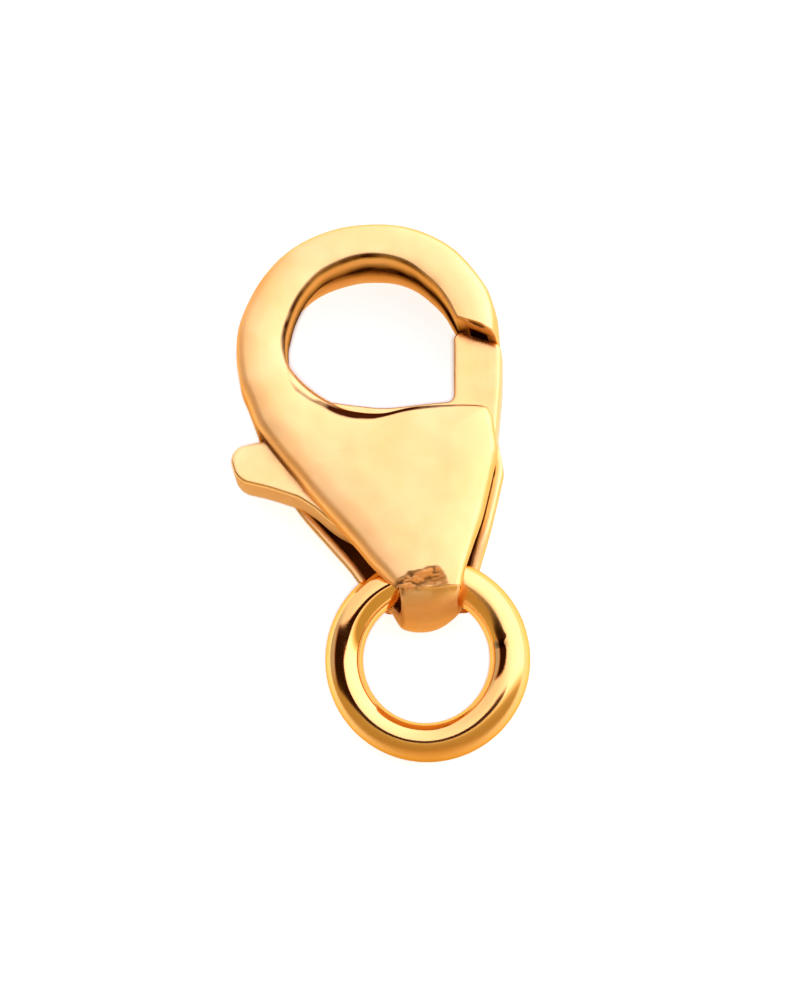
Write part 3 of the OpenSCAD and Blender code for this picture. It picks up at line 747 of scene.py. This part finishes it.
def goldFilled(name, look):
    # Gold-filled brass, rolled and then barrel polished: a warm yellow skin, mirror bright but for a
    # haze of fine rubbing marks, with slow changes of tone where the polish has bitten unevenly. Where
    # the wheel missed it, it is rougher, and painted redder and darker as painted shade; near-black
    # painted shade and dark reflections lie in creases, gaps and hollows
    material = bpy.data.materials.new(name)
    material.use_nodes = True
    tree = material.node_tree
    tree.nodes.clear()
    where = addNode(tree, "ShaderNodeTexCoord").outputs["Object"]
    dullAndShade = addNode(tree, "ShaderNodeAttribute", {"attribute_name": "dullAndShade"}).outputs["Fac"]
    tone = addNode(tree, "ShaderNodeTexNoise", links={
        "Vector": where, "Scale": perMm / look["toneMm"], "Detail": 3.0, "Roughness": 0.55})
    polished = addNode(tree, "ShaderNodeMix", {"data_type": "RGBA"}, {
        "Factor": tone.outputs["Fac"], "A": linearColour(look["deep"]), "B": linearColour(look["pale"])})
    # Duller points are painted towards the recess colour: painted shade as well as unpolished skin
    redder = addNode(tree, "ShaderNodeMath", {"operation": "MULTIPLY_ADD", "use_clamp": True}, {
        0: dullAndShade, 1: 1.6, 2: -0.35})
    wornAndShaded = addNode(tree, "ShaderNodeMix", {"data_type": "RGBA"}, {
        "Factor": redder.outputs["Value"], "A": polished.outputs["Result"],
        "B": linearColour(look["recessAndShade"])})
    colour, edgeTint = wornAndShaded.outputs["Result"], linearColour(look["edgeTint"])
    # Painted dark: near-black painted shade and dark reflections, in patches, also taken into the edge tint
    if look["paintedDarkColour"]:
        paintedDarkColour = linearColour(look["paintedDarkColour"])
        paintedDark = addNode(tree, "ShaderNodeAttribute", {"attribute_name": "paintedDark"}).outputs["Fac"]
        patches = addNode(tree, "ShaderNodeTexNoise", links={
            "Vector": where, "Scale": perMm / look["paintedDarkPatchMm"], "Detail": 2.0})
        patchy = addNode(tree, "ShaderNodeMapRange", links={
            "Value": patches.outputs["Fac"], "From Min": 0.35, "From Max": 0.6, "To Min": 0.8,
            "To Max": 1.0})
        amount = addNode(tree, "ShaderNodeMath", {"operation": "MULTIPLY"}, {
            0: paintedDark, 1: patchy.outputs["Result"]}).outputs["Value"]
        colour = addNode(tree, "ShaderNodeMix", {"data_type": "RGBA"}, {
            "Factor": amount, "A": colour, "B": paintedDarkColour}).outputs["Result"]
        edgeTint = addNode(tree, "ShaderNodeMix", {"data_type": "RGBA"}, {
            "Factor": amount, "A": edgeTint, "B": paintedDarkColour}).outputs["Result"]
    haze = addNode(tree, "ShaderNodeTexNoise", links={
        "Vector": where, "Scale": perMm / look["hazeMm"], "Detail": 4.0, "Roughness": 0.6})
    rough = addNode(tree, "ShaderNodeMapRange", links={
        "Value": haze.outputs["Fac"], "From Min": 0.3, "From Max": 0.7,
        "To Min": look["roughLow"], "To Max": look["roughHigh"]})
    rougher = addNode(tree, "ShaderNodeMath", {"operation": "MULTIPLY_ADD", "use_clamp": True}, {
        0: dullAndShade, 1: look["dullRough"], 2: rough.outputs["Result"]})
    stretch = addNode(tree, "ShaderNodeMapping", links={
        "Vector": where, "Scale": (1.0, 9.0, 1.0), "Rotation": (0.0, 0.0, math.radians(look["rubAngle"]))})
    rub = addNode(tree, "ShaderNodeTexNoise", links={
        "Vector": stretch.outputs["Vector"], "Scale": perMm / look["rubMm"], "Detail": 3.0,
        "Roughness": 0.5})
    wave = addNode(tree, "ShaderNodeTexNoise", links={
        "Vector": where, "Scale": perMm / look["waveMm"], "Detail": 1.0})
    uneven = addNode(tree, "ShaderNodeBump", links={
        "Height": wave.outputs["Fac"], "Distance": look["waveDepth"] * mm, "Strength": 1.0})
    rubbed = addNode(tree, "ShaderNodeBump", links={
        "Height": rub.outputs["Fac"], "Distance": look["rubDepth"] * mm, "Strength": 1.0,
        "Normal": uneven.outputs["Normal"]})
    shader = addNode(tree, "ShaderNodeBsdfPrincipled", links={
        "Base Color": colour, "Metallic": 1.0, "Roughness": rougher.outputs["Value"],
        "Specular Tint": edgeTint, "Normal": rubbed.outputs["Normal"]})
    addNode(tree, "ShaderNodeOutputMaterial", links={"Surface": shader.outputs["BSDF"]})
    return material


# Colours, then each pattern's real size and depth in millimetres. Rubbing marks are drawn coarser than
# the real ones, so that they show. The lever and the pin carry no painted dark
sheetLook = {
    "pale": "#FFDA98", "deep": "#FFBA60", "toneMm": 1.3,
    "recessAndShade": "#DC8A2C",        # the redder skin where the wheel missed it, also painted shade on walls and in recesses
    "edgeTint": "#FFD08A",      # seen at a flat angle
    # Near-black painted shade and dark reflections, in patches of this size
    "paintedDarkColour": "#3C1404", "paintedDarkPatchMm": 0.3,
    "roughLow": 0.22, "roughHigh": 0.34, "hazeMm": 0.6,
    "dullRough": 0.8,           # added where it is dull
    "rubMm": 0.25, "rubAngle": 35, "rubDepth": 0.0006,
    "waveMm": 0.9, "waveDepth": 0.03,
}
leverLook = dict(sheetLook, recessAndShade="#BE7E30", edgeTint="#FFEBCC", paintedDarkColour=None, roughLow=0.2,
                 roughHigh=0.32, rubAngle=80, waveMm=0.7)
wireLook = dict(sheetLook, pale="#FFCF80", deep="#FFC26A", recessAndShade="#DC9030", roughLow=0.03,
                roughHigh=0.07, dullRough=0.55, rubDepth=0.0002, waveMm=0.8, waveDepth=0.004)
pinLook = dict(sheetLook, pale="#E8C07A", deep="#D9AA60", paintedDarkColour=None, roughLow=0.25, roughHigh=0.4)

for piece, name, look in ((claspBody, "polished gold-filled sheet", sheetLook),
                          (lever, "tumbled gold-filled lever", leverLook),
                          (jumpRing, "drawn gold-filled wire", wireLook),
                          (frame["nodes"]["pivot_pin"], "plain brass pin", pinLook)):
    if not piece.material_slots:
        piece.data.materials.append(None)
    piece.material_slots[0].material = goldFilled(name, look)
print("materials")

# The camera stands below the tail's end and a little to the right, looking down on the front
cameraSetup = {
    "mmPerPixel": 0.01953,
    "pitch": 16.0,
    "yaw": 4.0,
    "originPixel": (380.35, 493.2),     # where the frame's origin, half the depth up, falls
    "imagePixels": (800, 1000),
    "distance": 200.0,
    "sensorWidth": 36,
}


def makeCamera():
    # Its axes are turned by the pitch and the yaw, and it is moved along them until the frame's origin
    # falls on its pixel
    setup = cameraSetup
    pitch, yaw = math.radians(setup["pitch"]), math.radians(setup["yaw"])
    right = Vector((math.cos(yaw), 0, -math.sin(yaw)))
    up = Vector((0, math.cos(pitch), math.sin(pitch)))
    back = right.cross(up).normalized()
    up = back.cross(right).normalized()
    wide, high = setup["imagePixels"]
    x, y = setup["originPixel"]
    target = Vector((0, 0, halfDepth)) + right * (wide / 2 - x) * setup["mmPerPixel"] \
        - up * (high / 2 - y) * setup["mmPerPixel"]
    data = bpy.data.cameras.new("camera")
    data.sensor_width = setup["sensorWidth"]
    data.lens = setup["sensorWidth"] * setup["distance"] / (high * setup["mmPerPixel"])
    data.clip_start, data.clip_end = 0.01, 5
    camera = bpy.data.objects.new("camera", data)
    bpy.context.scene.collection.objects.link(camera)
    turn = Matrix((right, up, back)).transposed().to_4x4()
    camera.matrix_world = Matrix.Translation((target + back * setup["distance"]) * mm) @ turn
    bpy.context.scene.camera = camera
    return right, up, back


right, up, back = makeCamera()
print("camera")

# Light by direction, as the camera stands: places run from -1 at the left or below to 1
studioSetup = {
    "bright": (1.5, 2.8),       # softbox above the camera, at its left and right
    "brightTint": ("#DCDAF0", "#DCDEFC"),
    "leftEnd": 0.5,             # how much of its light is left at its left end
    "low": 0.58,                # room below the camera
    "lowTint": "#FFDC90",
    "far": 1.3,                 # wall at the clasp's foot
    "dark": 0.03,               # the camera and its stand
    "darkTint": "#FF9A50",
    "darkEnds": (-0.87, 0.19),
    "darkLevel": (0.12, 0.06),  # place of its middle at these ends, from below to above
    "darkHalf": (0.28, 0.035),  # half its height there
    "floorGrey": "#BCBCBB",     # lit until it looks white
    "floorWidth": 3.0,          # metres, as the lamp's two below
    "lampDistance": 0.6,
    "lampSize": 0.06,
    "lampPower": 6.2,
}


def makeWorld():
    # Soft light by direction: bright above the camera's level, dimmer and warm below it, and dark
    # where the camera and its stand are
    setup = studioSetup
    world = bpy.data.worlds.new("studio")
    bpy.context.scene.world = world
    world.use_nodes = True
    tree = world.node_tree
    tree.nodes.clear()
    way = addNode(tree, "ShaderNodeTexCoord").outputs["Generated"]
    across, above, toward = (addNode(tree, "ShaderNodeVectorMath", {"operation": "DOT_PRODUCT"}, {
        0: way, 1: tuple(axis)}).outputs["Value"] for axis in (right, up, back))

    # Each ramp: what it runs along, from where to where, its value at these, and its kind
    leftEnd, rightEnd = setup["darkEnds"]
    ramps = {
        "soft": (across, -0.6, 0.6, *setup["bright"], "LINEAR"),
        "fade": (across, -1.0, -0.75, setup["leftEnd"], 1.0, "SMOOTHSTEP"),
        "toRight": (across, -0.5, 0.1, 0.0, 1.0, "SMOOTHSTEP"),
        "isLow": (above, -0.2, 0.07, 1.0, 0.0, "SMOOTHSTEP"),
        "low": (above, -0.97, -0.74, setup["far"], setup["low"], "SMOOTHSTEP"),
        "darkLevel": (across, leftEnd, rightEnd, *setup["darkLevel"], "LINEAR"),
        "darkHalf": (across, leftEnd, rightEnd, *setup["darkHalf"], "LINEAR"),
        "darkLeft": (across, leftEnd - 0.08, leftEnd + 0.05, 0.0, 1.0, "SMOOTHSTEP"),
        "darkRight": (across, rightEnd - 0.03, rightEnd + 0.03, 1.0, 0.0, "SMOOTHSTEP"),
    }
    ramp = {name: addNode(tree, "ShaderNodeMapRange", {"interpolation_type": kind},
                          dict(enumerate(values))).outputs["Result"]
            for name, (*values, kind) in ramps.items()}

    bright = addNode(tree, "ShaderNodeMath", {"operation": "MULTIPLY"}, {
        0: ramp["soft"], 1: ramp["fade"]}).outputs["Value"]
    off = addNode(tree, "ShaderNodeMath", {"operation": "SUBTRACT"}, {
        0: above, 1: ramp["darkLevel"]}).outputs["Value"]
    off = addNode(tree, "ShaderNodeMath", {"operation": "ABSOLUTE"}, {0: off}).outputs["Value"]
    past = addNode(tree, "ShaderNodeMath", {"operation": "SUBTRACT"}, {
        0: off, 1: ramp["darkHalf"]}).outputs["Value"]
    dark = addNode(tree, "ShaderNodeMapRange", {"interpolation_type": "SMOOTHSTEP"}, {
        "Value": past, "From Min": -0.02, "From Max": 0.02, "To Min": 1.0, "To Max": 0.0}).outputs["Result"]
    behind = addNode(tree, "ShaderNodeMath", {"operation": "GREATER_THAN"}, {
        0: toward, 1: 0.0}).outputs["Value"]
    for edge in (ramp["darkLeft"], ramp["darkRight"], behind):
        dark = addNode(tree, "ShaderNodeMath", {"operation": "MULTIPLY"}, {0: dark, 1: edge}).outputs["Value"]

    strength = bright
    for factor, value in ((ramp["isLow"], ramp["low"]), (dark, setup["dark"])):
        strength = addNode(tree, "ShaderNodeMix", {"data_type": "FLOAT"}, {
            "Factor": factor, "A": strength, "B": value}).outputs["Result"]
    tint = linearColour(setup["brightTint"][0])
    for factor, code in ((ramp["toRight"], setup["brightTint"][1]), (ramp["isLow"], setup["lowTint"]),
                         (dark, setup["darkTint"])):
        tint = addNode(tree, "ShaderNodeMix", {"data_type": "RGBA"}, {
            "Factor": factor, "A": tint, "B": linearColour(code)}).outputs["Result"]
    light = addNode(tree, "ShaderNodeBackground", links={"Color": tint, "Strength": strength})
    addNode(tree, "ShaderNodeOutputWorld", links={"Surface": light.outputs["Background"]})


makeWorld()

corners = np.array([[-1, -1, 0], [1, -1, 0], [1, 1, 0], [-1, 1, 0]]) * studioSetup["floorWidth"] / 2
floor = addMesh("floor", corners, [[0, 1, 2, 3]], smooth=False)
paper = bpy.data.materials.new("white paper sweep")      # matt, so it takes only soft shadows
paper.use_nodes = True
paperInputs = paper.node_tree.nodes["Principled BSDF"].inputs
paperInputs["Base Color"].default_value = linearColour(studioSetup["floorGrey"])
paperInputs["Roughness"].default_value = 0.9
floor.data.materials.append(paper)

# The lamp shines from the camera's side, so its shadows hide behind the clasp
lamp = bpy.data.lights.new("floor lamp", "AREA")
lamp.shape = "DISK"
lamp.size = studioSetup["lampSize"]
lamp.energy = studioSetup["lampPower"]
lampObject = bpy.data.objects.new("floor lamp", lamp)
bpy.context.scene.collection.objects.link(lampObject)
lampObject.location = back * studioSetup["lampDistance"]
lampObject.rotation_euler = back.to_track_quat("Z", "Y").to_euler()
lampObject.visible_glossy = False
lampObject.visible_camera = False

scene = bpy.context.scene
scene.view_settings.view_transform = "Standard"
scene.view_settings.look = "None"
print("studio")
